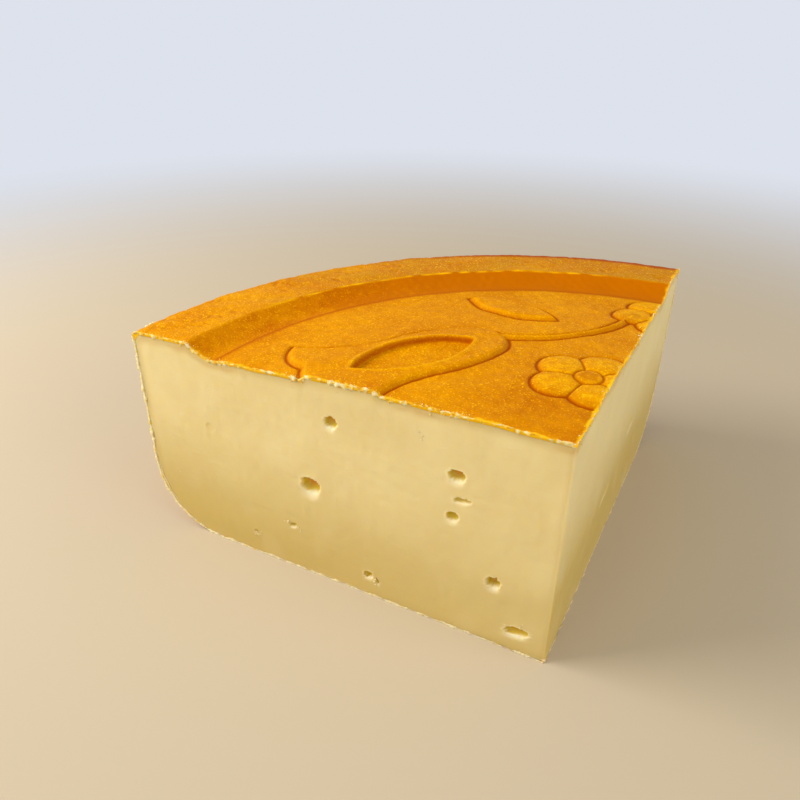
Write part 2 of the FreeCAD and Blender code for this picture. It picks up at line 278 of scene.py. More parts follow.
def stem_outline(sizes):
    """The stem: an arc between its two ends, widened by half its width to each side."""
    start, end = (np.array(place) for place in STEM_ENDS)
    chord = end - start
    outwards = np.array([chord[1], -chord[0]])
    half_angle = 2 * math.atan(2 * STEM_BOW)
    radius = 0.5 / math.sin(half_angle)
    turn = np.linspace(-1, 1, 40)[:, None] * half_angle
    ray = np.sin(turn) * chord + np.cos(turn) * outwards
    centre = (start + end) / 2 - outwards * radius * math.cos(half_angle)
    line = (centre + radius * ray) * field_radius(sizes)
    side = ray / np.linalg.norm(ray, axis=1, keepdims=True) * sizes.stem_width / 2
    return np.concatenate([line + side, (line - side)[::-1]])


def inside_distance(x, y, outline, margin=4 * MM):
    """Distance inside a closed outline, below 0 outside: to the nearest segment, signed by ray crossings."""
    low, high = outline.min(0) - margin, outline.max(0) + margin
    near = (x > low[0]) & (x < high[0]) & (y > low[1]) & (y < high[1])
    result = np.full(x.shape, -margin)
    place = np.stack([x[near], y[near]], -1)[:, None, :]
    start, edge = outline, np.roll(outline, -1, 0) - outline
    share = np.clip(((place - start) * edge).sum(-1) / (edge ** 2).sum(-1), 0, 1)
    gap = np.linalg.norm(start + share[..., None] * edge - place, axis=-1).min(-1)
    rises = (start[:, 1] > place[..., 1]) != (start[:, 1] + edge[:, 1] > place[..., 1])
    lean = edge[:, 0] / np.where(edge[:, 1] == 0, 1e-12, edge[:, 1])
    crosses = rises & (place[..., 0] < start[:, 0] + (place[..., 1] - start[:, 1]) * lean)
    result[near] = np.where(crosses.sum(-1) % 2 == 1, gap, -gap)
    return np.maximum(result, -margin)


def circle_distances(sizes, x, y, centre, turn, count, span):
    """Distances inside a flower's petals and its button: a circle's radius less the way to its middle."""
    middle = np.array(centre) * field_radius(sizes)
    turns = np.radians(turn + np.arange(count) * span / (count if span == 360 else count - 1))
    petals = [
        sizes.petal_radius - np.hypot(
            x - middle[0] - sizes.petal_ring * math.cos(at), y - middle[1] - sizes.petal_ring * math.sin(at))
        for at in turns]
    return petals, sizes.boss_radius - np.hypot(x - middle[0], y - middle[1])


def wash_halo(inside, reach):
    """Wash that lingers beside an outline: a bell curve of the distance outside it, up to a reach inside."""
    return HALO_SHARE * bell_curve(np.minimum(inside, -0.3 * MM), HALO_WIDTH) * (inside < reach)


def relief(sizes, x, y):
    """Height of the relief over the field, its groove and stipple, its painted highlights, and thin wash with
    painted sparkle.

    A motif's height is a smooth step up across its outline, and a petal's a shallow pillow. A groove is a
    bell curve of depth along each outline, and the bead one of height round the window. The wash fills the
    grooves and is thin on the petals, with painted sparkle there. Painted highlights lie on the bead, the
    motifs' shoulders and spots of the petals.
    """
    reach = field_radius(sizes)
    bell, window, leaf = (
        inside_distance(x, y, bowed_outline(corners, place, turn, reach))
        for corners, place, turn in (
            (BELL, BELL_MOUTH, BELL_TURN), (BELL_WINDOW, BELL_MOUTH, BELL_TURN),
            (LEAF, LEAF_BASE, LEAF_TURN)))
    plant = np.maximum.reduce([bell, leaf, inside_distance(x, y, stem_outline(sizes))])
    height = sizes.relief_height * blend_up(plant, -0.2 * MM, 2.4 * MM)
    groove = bell_curve(plant + 0.35 * MM, GROOVE_WIDTH)
    halo = wash_halo(plant, 1.2 * MM)
    nearest_petal, thin_and_sparkle = np.full_like(plant, -1.0), np.zeros_like(plant)
    for centre, turn, count, span in FLOWERS:
        petals, button = circle_distances(sizes, x, y, centre, turn, count, span)
        ranked = np.sort(np.stack(petals), axis=0)
        nearest, second = ranked[-1], ranked[-2]
        nearest_petal = np.maximum(nearest_petal, nearest)
        # painted sparkle: thin wash on the petals lightens them and takes more glints
        thin_and_sparkle = np.maximum(thin_and_sparkle, 0.7 * blend_up(nearest, 0.8 * MM, 3.5 * MM))
        pillow = np.sqrt(np.clip(nearest / (0.8 * sizes.petal_radius), 0, 1))
        boss = 0.55 + 0.6 * np.sqrt(np.clip(button / sizes.boss_radius, 0, 1))
        flower = np.where(button > 0, boss, pillow) * (np.maximum(nearest, button) > 0)
        height = np.maximum(height, sizes.relief_height * 1.1 * flower)
        round_flower = bell_curve(np.maximum(nearest, button) + 0.3 * MM, GROOVE_WIDTH)
        between = bell_curve(nearest - second, 1.3 * GROOVE_WIDTH) * (second > 0) * (button < 0)
        round_button = bell_curve(button + 0.2 * MM, GROOVE_WIDTH)
        groove = np.maximum.reduce([
            groove * (nearest < -0.5 * MM), round_flower, 0.8 * between, 0.8 * round_button])
        halo = np.maximum(halo, wash_halo(nearest, 0.6 * MM))
    sink = blend_up(window, -0.3 * MM, 1.0 * MM)
    bead = bell_curve(window + 1.1 * MM, 0.8 * MM)
    height = height * (1 - sink) - sizes.relief_sink * sink + BEAD_HEIGHT * bead
    groove = np.maximum(groove, 0.8 * bell_curve(window - 0.2 * MM, 0.8 * GROOVE_WIDTH))
    stipple = blend_up(window, 0.6 * MM, 1.8 * MM)
    thin_and_sparkle = np.maximum(thin_and_sparkle, 0.05 * stipple)
    # painted highlights: the bead, the motifs' shoulders and spots of the petals lighten
    shoulder = bell_curve(np.maximum(plant, nearest_petal) - 1.1 * MM, 0.6 * MM)
    spots = np.clip(ripple(np.stack([x, y, 0 * x], -1), 1.5 * MM, 34), 0, 1)
    spots = spots * blend_up(nearest_petal, 0.4 * MM, 1.6 * MM)
    worn = np.maximum.reduce([0.28 * bead, 0.16 * shoulder, 0.30 * spots])
    return height - GROOVE_DEPTH * groove, np.maximum(groove, halo), stipple, worn, thin_and_sparkle


def dome_height(sizes, away):
    """Height of the plain field: a ball's cap that rises crown_rise from the step to the axis."""
    reach = field_radius(sizes)
    ball = (reach ** 2 + sizes.crown_rise ** 2) / (2 * sizes.crown_rise)
    low = ledge_height(sizes) - sizes.step_drop + sizes.crown_rise - ball
    return low + np.sqrt(ball ** 2 - np.minimum(away, reach) ** 2)


def field_height(sizes, x, y):
    """Height of the field with its relief, which fades out over 3 mm before the step, and its shades."""
    away = np.hypot(x, y)
    height, groove, stipple, worn, thin_and_sparkle = relief(sizes, x, y)
    fade = blend_up(field_radius(sizes) - away, 0, 3 * MM)
    return dome_height(sizes, away) + height * fade, groove * fade, stipple, worn * fade, thin_and_sparkle * fade


def rim_section(sizes):
    """The wheel's section outside the field, as radius and height, from the step's foot to the underside.

    The slope is a power curve, hollow at its foot. The ledge is a small parabola between slope and rim. The
    rim is straight, its outer corner and the heel's foot are quarter circles, and the heel is straight.
    """
    reach, radius, ledge = field_radius(sizes), sizes.wheel_radius, ledge_height(sizes)
    up = np.linspace(0, 0.93, 26)
    slope = np.stack([reach + sizes.step_run * up, ledge - sizes.step_drop * (1 - up ** 2.0)], -1)
    soft = 0.9 * MM
    corner = np.array([reach + sizes.step_run, ledge])
    turn = np.linspace(0, 1, 6)[1:, None]
    edge = (1 - turn) ** 2 * slope[-1] + 2 * turn * (1 - turn) * corner + turn ** 2 * (corner + [soft, 0])
    along = np.linspace(0, 1, 42)[1:, None]
    rim_end = np.array([radius - sizes.rim_round, sizes.rim_height])
    rim = (1 - along) * edge[-1] + along * rim_end
    quarter = np.linspace(0, math.pi / 2, 8)[1:]
    outer = rim_end + sizes.rim_round * np.stack([np.sin(quarter), np.cos(quarter) - 1], -1)
    down = np.linspace(outer[-1, 1], sizes.base_round, 74)[1:]
    heel = np.stack([np.full(73, radius), down], -1)
    quarter = np.linspace(0, math.pi / 2, 56)[1:]
    foot = np.stack([
        radius - sizes.base_round * (1 - np.cos(quarter)), sizes.base_round * (1 - np.sin(quarter))], -1)
    tail = np.linspace(0, 1, 15)[1:, None] * np.array([-6 * MM, 0]) + foot[-1]
    return np.concatenate([slope, edge, rim, outer, heel, foot, tail])


def top_height(sizes, away, cut):
    """Height of the wheel's top along a cut: the field with its relief, then the slope and the rim."""
    x, y = (-away, 0 * away) if cut == "front" else (0 * away, away)
    section = rim_section(sizes)
    rising = section[:section[:, 0].argmax() + 1]
    outside = np.interp(away, rising[:, 0], rising[:, 1])
    return np.where(away < field_radius(sizes), field_height(sizes, x, y)[0], outside)


def paste_top(sizes, away, cut):
    """Height where the paste ends at a cut: the lowest top within 4 mm behind, so that no groove bares it."""
    behind = np.arange(5)[:, None] * MM
    along, into = away + 0 * behind, behind + 0 * away
    x, y = (-along, into) if cut == "front" else (-into, along)
    lowest = field_height(sizes, x, y)[0].min(0)
    plain = top_height(sizes, away, cut)
    on_field = away < field_radius(sizes) - 5 * MM
    return np.where(on_field, np.minimum(plain, lowest), plain) - PASTE_BELOW


def bottom_height(sizes, away):
    """Height of the wheel's underside: level, then the heel's rounded foot."""
    over = np.maximum(away - sizes.wheel_radius + sizes.base_round, 0)
    return sizes.base_round - np.sqrt(sizes.base_round ** 2 - np.minimum(over, sizes.base_round) ** 2)


def build_piece(name, points, quads, triangles, material, stands_for, shades):
    """Puts one closed mesh into the scene, its faces outwards, with its material, its shades and its
    place in the frame. The faces are turned over if the volume they enclose comes out below 0."""
    points = points + APEX
    corners = points[np.concatenate([triangles, quads[:, :3], quads[:, [0, 2, 3]]])]
    volume = np.einsum("ij,ij->i", corners[:, 0], np.cross(corners[:, 1], corners[:, 2])).sum()
    if volume < 0:
        quads, triangles = quads[:, ::-1], triangles[:, ::-1]
    mesh = bpy.data.meshes.new(name)
    mesh.vertices.add(len(points))
    mesh.vertices.foreach_set("co", points.astype(np.float32).ravel())
    mesh.loops.add(quads.size + triangles.size)
    loops = np.concatenate([quads.ravel(), triangles.ravel()])
    mesh.loops.foreach_set("vertex_index", loops.astype(np.int32))
    first = np.concatenate([np.arange(len(quads)) * 4, quads.size + np.arange(len(triangles)) * 3])
    mesh.polygons.add(len(first))
    mesh.polygons.foreach_set("loop_start", first.astype(np.int32))
    mesh.update(calc_edges=True)
    mesh.validate()
    mesh.shade_smooth()
    mesh.set_sharp_from_angle(angle=math.radians(60))
    for shade, values in shades.items():
        attribute = mesh.attributes.new(shade, "FLOAT", "POINT")
        attribute.data.foreach_set("value", np.ascontiguousarray(values, dtype=np.float32).ravel())
    mesh.materials.append(material)
    piece = bpy.data.objects.new(name, mesh)
    bpy.context.collection.objects.link(piece)
    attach(piece, "root")
    if stands_for:
        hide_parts(NODE)


def grid_quads(numbers):
    """The quads of a grid of vertex numbers."""
    corners = [numbers[:-1, :-1], numbers[1:, :-1], numbers[1:, 1:], numbers[:-1, 1:]]
    return np.stack(corners, -1).reshape(-1, 4)


def border_fan(outer, inner):
    """Triangles between two borders, the second with one vertex for every step of the first."""
    half = SKIN_STEP // 2
    starts = np.arange(len(inner) - 1) * SKIN_STEP
    near, far = inner[:-1], inner[1:]
    fans = [
        np.stack([outer[starts + at], near if at < half else far, outer[starts + at + 1]], -1)
        for at in range(SKIN_STEP)]
    fans.append(np.stack([near, far, outer[starts + half]], -1))
    return np.concatenate(fans)


def closed_skin(outer, inner):
    """A skin: a fine outer grid, a coarse inner one, and fans of triangles between their borders."""
    fine = np.arange(outer.shape[0] * outer.shape[1]).reshape(outer.shape[:2])
    coarse = np.arange(inner.shape[0] * inner.shape[1]).reshape(inner.shape[:2]) + fine.size
    quads = np.concatenate([grid_quads(fine), grid_quads(coarse)[:, ::-1]])
    fans = np.concatenate([
        border_fan(fine[:, 0], coarse[:, 0]),
        border_fan(fine[::-1, -1], coarse[::-1, -1]),
        border_fan(fine[-1, :], coarse[-1, :]),
        border_fan(fine[0, ::-1], coarse[0, ::-1]),
    ])
    return np.concatenate([outer.reshape(-1, 3), inner.reshape(-1, 3)]), quads, fans


def quarter_disc(count, reach):
    """A square grid bent so that its rings are quarter circles round the axis, and each one's share."""
    u, v = np.meshgrid(np.linspace(0, 1, count), np.linspace(0, 1, count), indexing="ij")
    share = np.maximum(u, v)
    ratio = np.divide(np.minimum(u, v), share, out=np.zeros_like(share), where=share > 0)
    angle = np.where(u >= v, ratio, 2 - ratio) * math.pi / 4
    return -share * reach * np.cos(angle), share * reach * np.sin(angle), share


def bared_by_knife(points):
    """How far the skin's pale inside shows: less with the distance to the nearer cut, with a ragged end."""
    gap = np.minimum(-1.6 * points[..., 0], points[..., 1])
    ragged = 0.22 * MM * ripple(points, 1.1 * MM, 24) + 0.30 * MM * ripple(points, 4 * MM, 25)
    return 1 - blend_up(gap + ragged, 0.1 * MM, 1.4 * MM)


def build_skin(name, material, outer, inner, right_border, stands_for, **shades):
    """One piece of rind from its outside and its inside, with its edges at the two cuts torn by the knife.

    The edges stand out of the cuts by a smooth random amount, because the skin tears unevenly, and below the
    rim they lie a little behind the cuts. The front cut is the grids' first column. Inside, all is bared.
    """
    shades["near_cut"] = bared_by_knife(outer)
    on_top = blend_up(outer[..., 2], 76 * MM, 80 * MM)
    proud = 0.16 * MM * (on_top * (1 + 0.8 * ripple(outer, 1.2 * MM, 21)) - (1 - on_top))
    outer[:, 0, 1] -= proud[:, 0]
    outer[right_border][:, 0] += proud[right_border]
    points, quads, fans = closed_skin(outer, inner)
    unseen = inner[..., 0].size
    carried = {
        shade: np.concatenate([
            np.broadcast_to(shades.get(shade, 0.0), outer.shape[:2]).ravel(),
            np.full(unseen, float(shade == "near_cut"))])
        for shade in RIND_SHADES}
    build_piece(name, points, quads, fans, material, stands_for, carried)


def rind_grain(points):
    """Unevenness of the pressed skin: low swells of 7 mm and dimples of 1.6 mm, summed."""
    return 0.10 * MM * ripple(points, 7 * MM, 11) + 0.045 * MM * ripple(points, 1.6 * MM, 12)


def build_rind_face(sizes, material):
    """The moulded field: a quarter disc at the height of the dome with its relief. The step's wash ends
    in a bell curve at its foot, with a painted shadow line there, and painted shade darkens the field near
    the tip."""
    reach = field_radius(sizes)
    x, y, share = quarter_disc(281, reach)
    height, groove, stipple, worn, thin_and_sparkle = field_height(sizes, x, y)
    outer = np.stack([x, y, height], -1)
    outer[..., 2] += blend_up(1 - share, 0, 0.03) * rind_grain(outer)
    # the step's foot: wash with a painted shadow line
    foot = bell_curve((1 - share) * reach, 1.6 * MM)
    # painted shade: the field darkens near the tip
    tip_shade = 0.45 * (1 - blend_up(np.hypot(x, y), 12 * MM, 45 * MM))
    inner = outer[::SKIN_STEP, ::SKIN_STEP].copy()
    inner[..., 2] -= sizes.rind_thickness
    inner[1:-1, 1:-1, 2] -= 2.0 * MM
    build_skin(
        "rind_field", material, outer, inner, np.s_[0, :], True,
        groove=np.maximum(groove, 0.42 * foot), stipple=stipple, wash=foot - thin_and_sparkle + tip_shade, worn=worn)


def rim_creases(sizes, points):
    """Fine slanting creases of the rim: a cubed sine of the place across them, where a slow random
    pattern lets it show. They are more near the rim's left end, and fade out inwards."""
    across = points[..., 0] * 0.5 + points[..., 1] * 0.86 + 1.3 * MM * ripple(points, 5 * MM, 31)
    away = np.hypot(points[..., 0], points[..., 1])
    near_left = blend_up(-points[..., 0], 100 * MM, 150 * MM)
    shows = blend_up(ripple(points, 9 * MM, 32) + 1.2 * near_left, 0.2, 1.4)
    shows = shows * (points[..., 2] > sizes.rim_height - 3 * MM)
    inner_end = field_radius(sizes) + sizes.step_run
    shows = shows * blend_up(away, inner_end, sizes.wheel_radius - 0.7 * sizes.rim_width)
    broken = np.clip(0.6 + 0.6 * ripple(points, 2.5 * MM, 33), 0, 1.3)
    return -CREASE_DEPTH * broken * shows * np.abs(np.sin(across * math.pi / CREASE_SPACING)) ** 3


def build_rind_rim(sizes, material):
    """The slope, the rim, the heel and its foot: their section carried a quarter turn round the axis.

    The slope is darkened by wash and painted shade, more so to the back, and the rim's left end is lighter,
    as painted light. A painted highlight runs along the ledge by a bell curve across it. The wash stains the
    rim's outer corner and lies in the creases, and painted shade darkens the far part of the rim. A painted
    shadow line with wash lies at the slope's foot.
    """
    section = rim_section(sizes)
    radius, height = section.T
    lean = np.gradient(section, axis=0)
    normal = np.stack([-lean[:, 1], lean[:, 0]], -1) / np.linalg.norm(lean, axis=1, keepdims=True)
    angle = np.linspace(0, math.pi / 2, 321)
    ray = np.stack([-np.cos(angle), np.sin(angle)], -1)

    def carried_round(line):
        """Each pair of radius and height at every angle round the axis."""
        flat = line[:, None, :1] * ray
        return np.concatenate([flat, np.broadcast_to(line[:, None, 1:], (*flat.shape[:2], 1))], -1)

    outer, outwards = carried_round(section), carried_round(normal)
    inner = outer[::SKIN_STEP, ::SKIN_STEP] - outwards[::SKIN_STEP, ::SKIN_STEP] * sizes.rind_thickness
    at = np.arange(len(section))
    fade = blend_up(at, 0, 6) * blend_up(len(section) - at, 0, 12)
    outer += outwards * (fade[:, None] * (rind_grain(outer) + rim_creases(sizes, outer)))[..., None]
    outer[..., 2] = np.maximum(outer[..., 2], 0.02 * MM)
    step_end = field_radius(sizes) + sizes.step_run
    on_top = height > sizes.rim_height - 6 * MM
    on_slope = 1.0 * (on_top & (radius < step_end + 0.3 * MM))
    # painted shade: the slope darkens, more to the back; painted light: the rim's left end is lighter
    wash = on_slope[:, None] * (0.3 + 1.1 * blend_up(angle, 0.1, 1.2))
    wash = wash - 0.3 * (1 - blend_up(angle, 0.08, 0.5)) * (1 - on_slope)[:, None]
    # painted highlight: a bright line along the ledge
    ledge = bell_curve(radius - step_end - 0.1 * MM, 0.45 * MM) * on_top
    worn = ledge[:, None] * np.clip(0.5 + 0.25 * ripple(outer, 3 * MM, 26), 0, 1)
    worn = worn * (0.3 + 0.7 * blend_up(angle, 0.1, 0.6)) * (1 - 0.8 * blend_up(angle, 1.25, 1.45))
    corner = blend_up(radius, sizes.wheel_radius - 7.0 * MM, sizes.wheel_radius - 1.8 * MM)
    corner = corner * blend_up(height, sizes.rim_height - 7.0 * MM, sizes.rim_height - 0.8 * MM)
    stained = np.clip(1.2 + 0.25 * ripple(outer, 5 * MM, 27), 0, 1.2)
    stained = stained * corner[:, None] * blend_up(angle, 0.5, 1.25)
    creased = 0.4 * np.clip(-rim_creases(sizes, outer) / (0.2 * MM), 0, 1)
    # the slope's foot: wash with a painted shadow line
    foot = np.broadcast_to(0.42 * np.exp(-at / 2.2)[:, None], stained.shape)
    # painted shade: the rim darkens towards its far part
    dry = blend_up(angle, 0.05, 0.7) * np.clip(0.85 + 0.25 * ripple(outer, 9 * MM, 28), 0, 1)
    build_skin(
        "rind_rim", material, outer, inner, np.s_[:, -1], True,
        groove=np.maximum.reduce([foot, stained, creased]), wash=wash, worn=worn,
        dry=dry * (radius > step_end)[:, None])


def build_rind_base(sizes, material):
    """The underside: a quarter disc, level and slightly uneven by a random pattern of 5 mm."""
    x, y, _ = quarter_disc(101, sizes.wheel_radius - sizes.base_round - 5 * MM)
    uneven = 1 + 0.5 * ripple(np.stack([x, y, 0 * x], -1), 5 * MM, 41)
    outer = np.stack([x, y, 0.06 * MM * uneven], -1)
    inner = outer[::SKIN_STEP, ::SKIN_STEP] + [0, 0, sizes.rind_thickness]
    build_skin("rind_base", material, outer, inner, np.s_[0, :], False)


def gathered(low, high, count, places, width, pull):
    """Numbers from low to high, closer round some places: the inverse of a density with bell-shaped peaks."""
    fine = np.linspace(low, high, 4000)
    density = np.ones_like(fine)
    for place in places:
        density += pull * bell_curve(fine - place, width)
    total = np.concatenate([[0], np.cumsum((density[1:] + density[:-1]) / 2)])
    return np.interp(np.linspace(0, total[-1], count), total, fine)


def eye_depth(away, height, eyes, seed):
    """Depth of the eyes under a cut, their painted shade and glow within, and their lips' painted highlight.

    An eye is an ellipse with a ragged edge: sines round it with random heights. Its depth falls steeply
    from the edge by a power of the distance to its middle. Just below is a wider, shallow ellipse, so the
    floor runs out gently there. The bared edge is a low bell curve round the eye. The eye's upper part
    takes painted shade and a painted glow, and a deep eye has a darker hollow of painted shade, which takes
    the second result above 1 by a bell curve round its middle. The lip's painted highlight is a bell curve
    below the eye, with a thin ring round the eye.
    """
    depth, inside, lip_highlight = np.zeros_like(away), np.zeros_like(away), np.zeros_like(away)
    for number, (place, up, half_width, half_height, deepest, tilt, ragged) in enumerate(eyes):
        cos, sin = math.cos(math.radians(tilt)), math.sin(math.radians(tilt))
        across, rise = away - place * MM, height - up * MM
        side = (across * cos + rise * sin) / (half_width * MM)
        lift = (rise * cos - across * sin) / (half_height * MM)
        near = (np.abs(side) < 3) & (np.abs(lift) < 4)
        rng = np.random.default_rng(seed + number)
        turn = np.arctan2(lift, side)
        edge = np.ones_like(away)
        for lobes in range(2, 15):
            edge += ragged * rng.uniform(-0.22, 0.22) * np.sin(lobes * turn + rng.uniform(0, 6.3))
        reach = np.hypot(side, lift) / edge
        well = np.clip(1 - np.clip(reach, 0, 1) ** 3, 0, 1) ** 0.5
        floor = np.clip(1 - np.hypot((side - 0.1) / 0.85, (lift + 1.0) / 0.9) ** 2, 0, 1)
        hole = np.maximum(deepest * well * np.clip(1.0 + 0.3 * lift, 0.5, 1.3), 0.22 * deepest * floor)
        proud = EYE_LIP * bell_curve(reach - 1.15, 0.13) * (floor <= 0)
        depth += np.where(near, hole * MM - proud, 0)
        strong = min(1, deepest / 1.5)
        # painted shade: the eye's upper part, away from the light
        upper_shade = strong * blend_up(1 - reach, -0.02, 0.12) * blend_up(lift + 0.2 * side, -0.98, -0.62)
        hollow = 0.6 * np.exp(-(side ** 2 + (lift - 0.2) ** 2) / 0.3) * blend_up(deepest, 1.4, 2.4)
        inside = np.where(near, np.maximum(inside, upper_shade * (1 + hollow)), inside)
        below = bell_curve(side - 0.15, 0.8) * bell_curve(lift + 1.2, 0.5)
        # painted highlight: below the eye, where its lower lip faces the light, and a thin ring round it
        highlight = below * (1 - upper_shade) + 0.45 * bell_curve(reach - 1.12, 0.14)
        lip_highlight = np.where(near, np.maximum(lip_highlight, np.clip(highlight, 0, 1) * strong), lip_highlight)
    return depth, inside, lip_highlight


def cut_face(sizes, cut, columns, rows, eyes):
    """One cut: the points of a grid from the heel to the tip and from the underside up, and its shades.

    The face is level, with random swells of a tenth of a millimetre from the knife, and turns an eighth
    of a circle at the tip. Smears, from the knife and partly painted highlights of wet streaks, are a
    random pattern drawn out upwards. The paste is darker towards the underside, partly denser paste and
    partly painted shade, more so on the right cut and, on the front, towards the heel. Wash is rubbed in
    along a line under the top, by a bell curve.
    """
    end = sizes.wheel_radius - PASTE_BELOW
    away = gathered(0, end, columns, [eye[0] * MM for eye in eyes], 4 * MM, 1.2)[::-1]
    shares = gathered(0, 1, rows, [eye[1] * MM / sizes.rim_height for eye in eyes], 0.045, 0.9)
    low = (bottom_height(sizes, away) + PASTE_BELOW)[:, None]
    high = paste_top(sizes, away, cut)[:, None]
    height = low + (high - low) * shares
    away = np.broadcast_to(away[:, None], height.shape)
    flat = np.stack([away, 0 * away, height], -1)
    knife = 0.10 * MM * ripple(flat * [0.35, 1, 1], 9 * MM, 51) + 0.03 * MM * ripple(flat, 2.4 * MM, 52)
    edge_gap = np.minimum.reduce([height - low, high - height, sizes.wheel_radius - away])
    knife *= blend_up(edge_gap, 0, 3 * MM) * blend_up(away, 0, 4 * MM)
    depth, inside, lip_highlight = eye_depth(away, height, eyes, 61)
    turn = np.clip((TIP_ROUND - away) / TIP_ROUND, 0, 1) * math.pi / 4
    bent = np.where(away < TIP_ROUND, TIP_ROUND * (1 - np.sin(turn)), away)
    into = TIP_ROUND * (1 - np.cos(turn)) + knife + depth
    # pale smears: knife smears and painted highlights of wet streaks
    smear_and_sheen = ripple(flat * [1, 1, 0.3], 7 * MM, 53) + 0.6 * ripple(flat * [0.8, 1, 0.5], 4 * MM, 56)
    smear_and_sheen = blend_up(smear_and_sheen, 0.5, 3.0)
    if cut == "front":
        points = np.stack([-bent, into, height], -1)
        smear_and_sheen = 0.25 * smear_and_sheen
        # painted shade, with denser paste: darker low down and towards the heel
        settled_and_shade = (1 - blend_up(height, 0, 62 * MM)) * (0.55 + 0.45 * away / sizes.wheel_radius)
    else:
        points = np.stack([-into, bent, height], -1)
        smear_and_sheen = 0.35 * smear_and_sheen
        # painted shade, with denser paste: the right cut's lower part darker still
        settled_and_shade = 1.5 * (1 - blend_up(height, -5 * MM, 70 * MM))
    under_top = bell_curve(high - height + 0.5 * MM * ripple(flat, 4 * MM, 54) - 1.8 * MM, 1.1 * MM)
    rubbed = under_top * blend_up(ripple(flat * [0.5, 1, 1], 5 * MM, 55), -0.4, 1.2)
    return points, inside, lip_highlight, edge_gap, smear_and_sheen, settled_and_shade, rubbed


def build_paste(sizes, material):
    """The paste: two cuts that share the tip's edge, closed under the rind by a section carried round."""
    columns, rows, turns = 270, 140, 12
    front = cut_face(sizes, "front", columns, rows, FRONT_EYES)
    right = cut_face(sizes, "right", columns, rows, RIGHT_EYES)
    sheet, *shades = (np.concatenate([left, other[-2::-1]]) for left, other in zip(front, right))
    numbers = np.arange(sheet.shape[0] * rows).reshape(sheet.shape[:2])
    start, end = (
        np.concatenate([face[::-1, 0], face[0, 1:], face[1:, -1]])
        for face in (numbers[:columns], numbers[::-1][:columns]))
    flat = sheet.reshape(-1, 3)
    turn = np.linspace(0, 1, turns + 1)[1:-1]
    near, far = flat[start[1:-1], None], flat[end[1:-1], None]
    radius = np.clip(-near[..., 0] * (1 - turn) + far[..., 1] * turn - 0.5 * MM, 0, None)
    height = near[..., 2] * (1 - turn) + far[..., 2] * turn
    shelf = field_radius(sizes) + sizes.step_run + 1.0 * MM
    on_field = blend_up(radius, 8 * MM, 24 * MM) * (radius < shelf)
    under = 0.6 * MM + (sizes.relief_sink + GROOVE_DEPTH) * on_field
    plain = np.where(radius < shelf, dome_height(sizes, radius), height)
    on_top = (near[..., 2] > 0.85 * sizes.rim_height) & (radius < sizes.wheel_radius - 0.9 * MM)
    height = np.where(on_top, np.minimum(height, plain) - under, np.maximum(height, 0.7 * MM))
    angle = turn * math.pi / 2
    hidden = np.stack([-radius * np.cos(angle), radius * np.sin(angle), height], -1)
    hidden_numbers = len(flat) + np.arange(height.size).reshape(height.shape)
    band = np.concatenate([start[1:-1, None], hidden_numbers, end[1:-1, None]], 1)
    points = np.concatenate([flat, hidden.reshape(-1, 3)])
    quads = np.concatenate([grid_quads(numbers), grid_quads(band)])
    fans = np.concatenate([
        np.stack([np.full(turns, start[0]), band[0, :-1], band[0, 1:]], -1),
        np.stack([np.full(turns, start[-1]), band[-1, 1:], band[-1, :-1]], -1)])
    carried = {
        shade: np.concatenate([values.ravel(), np.zeros(height.size)])
        for shade, values in zip(PASTE_SHADES, shades)}
    build_piece("cheese_paste", points, quads, fans, material, True, carried)


def torn_line(sizes, cut, part):
    """A cut's border as distance from the tip and height: along the top, or down the heel and the foot."""
    gap = 0.4 * MM
    if part == "top":
        away = np.linspace(gap, sizes.wheel_radius - gap, 860)
        return away, top_height(sizes, away, cut)
    section = rim_section(sizes)
    lower = np.concatenate([section[section[:, 0].argmax():], [[gap, 0]]])
    run = np.concatenate([[0], np.cumsum(np.linalg.norm(np.diff(lower, axis=0), axis=1))])
    at = np.linspace(0, run[-1], 1150)
    return np.interp(at, run, lower[:, 0]), np.interp(at, run, lower[:, 1])


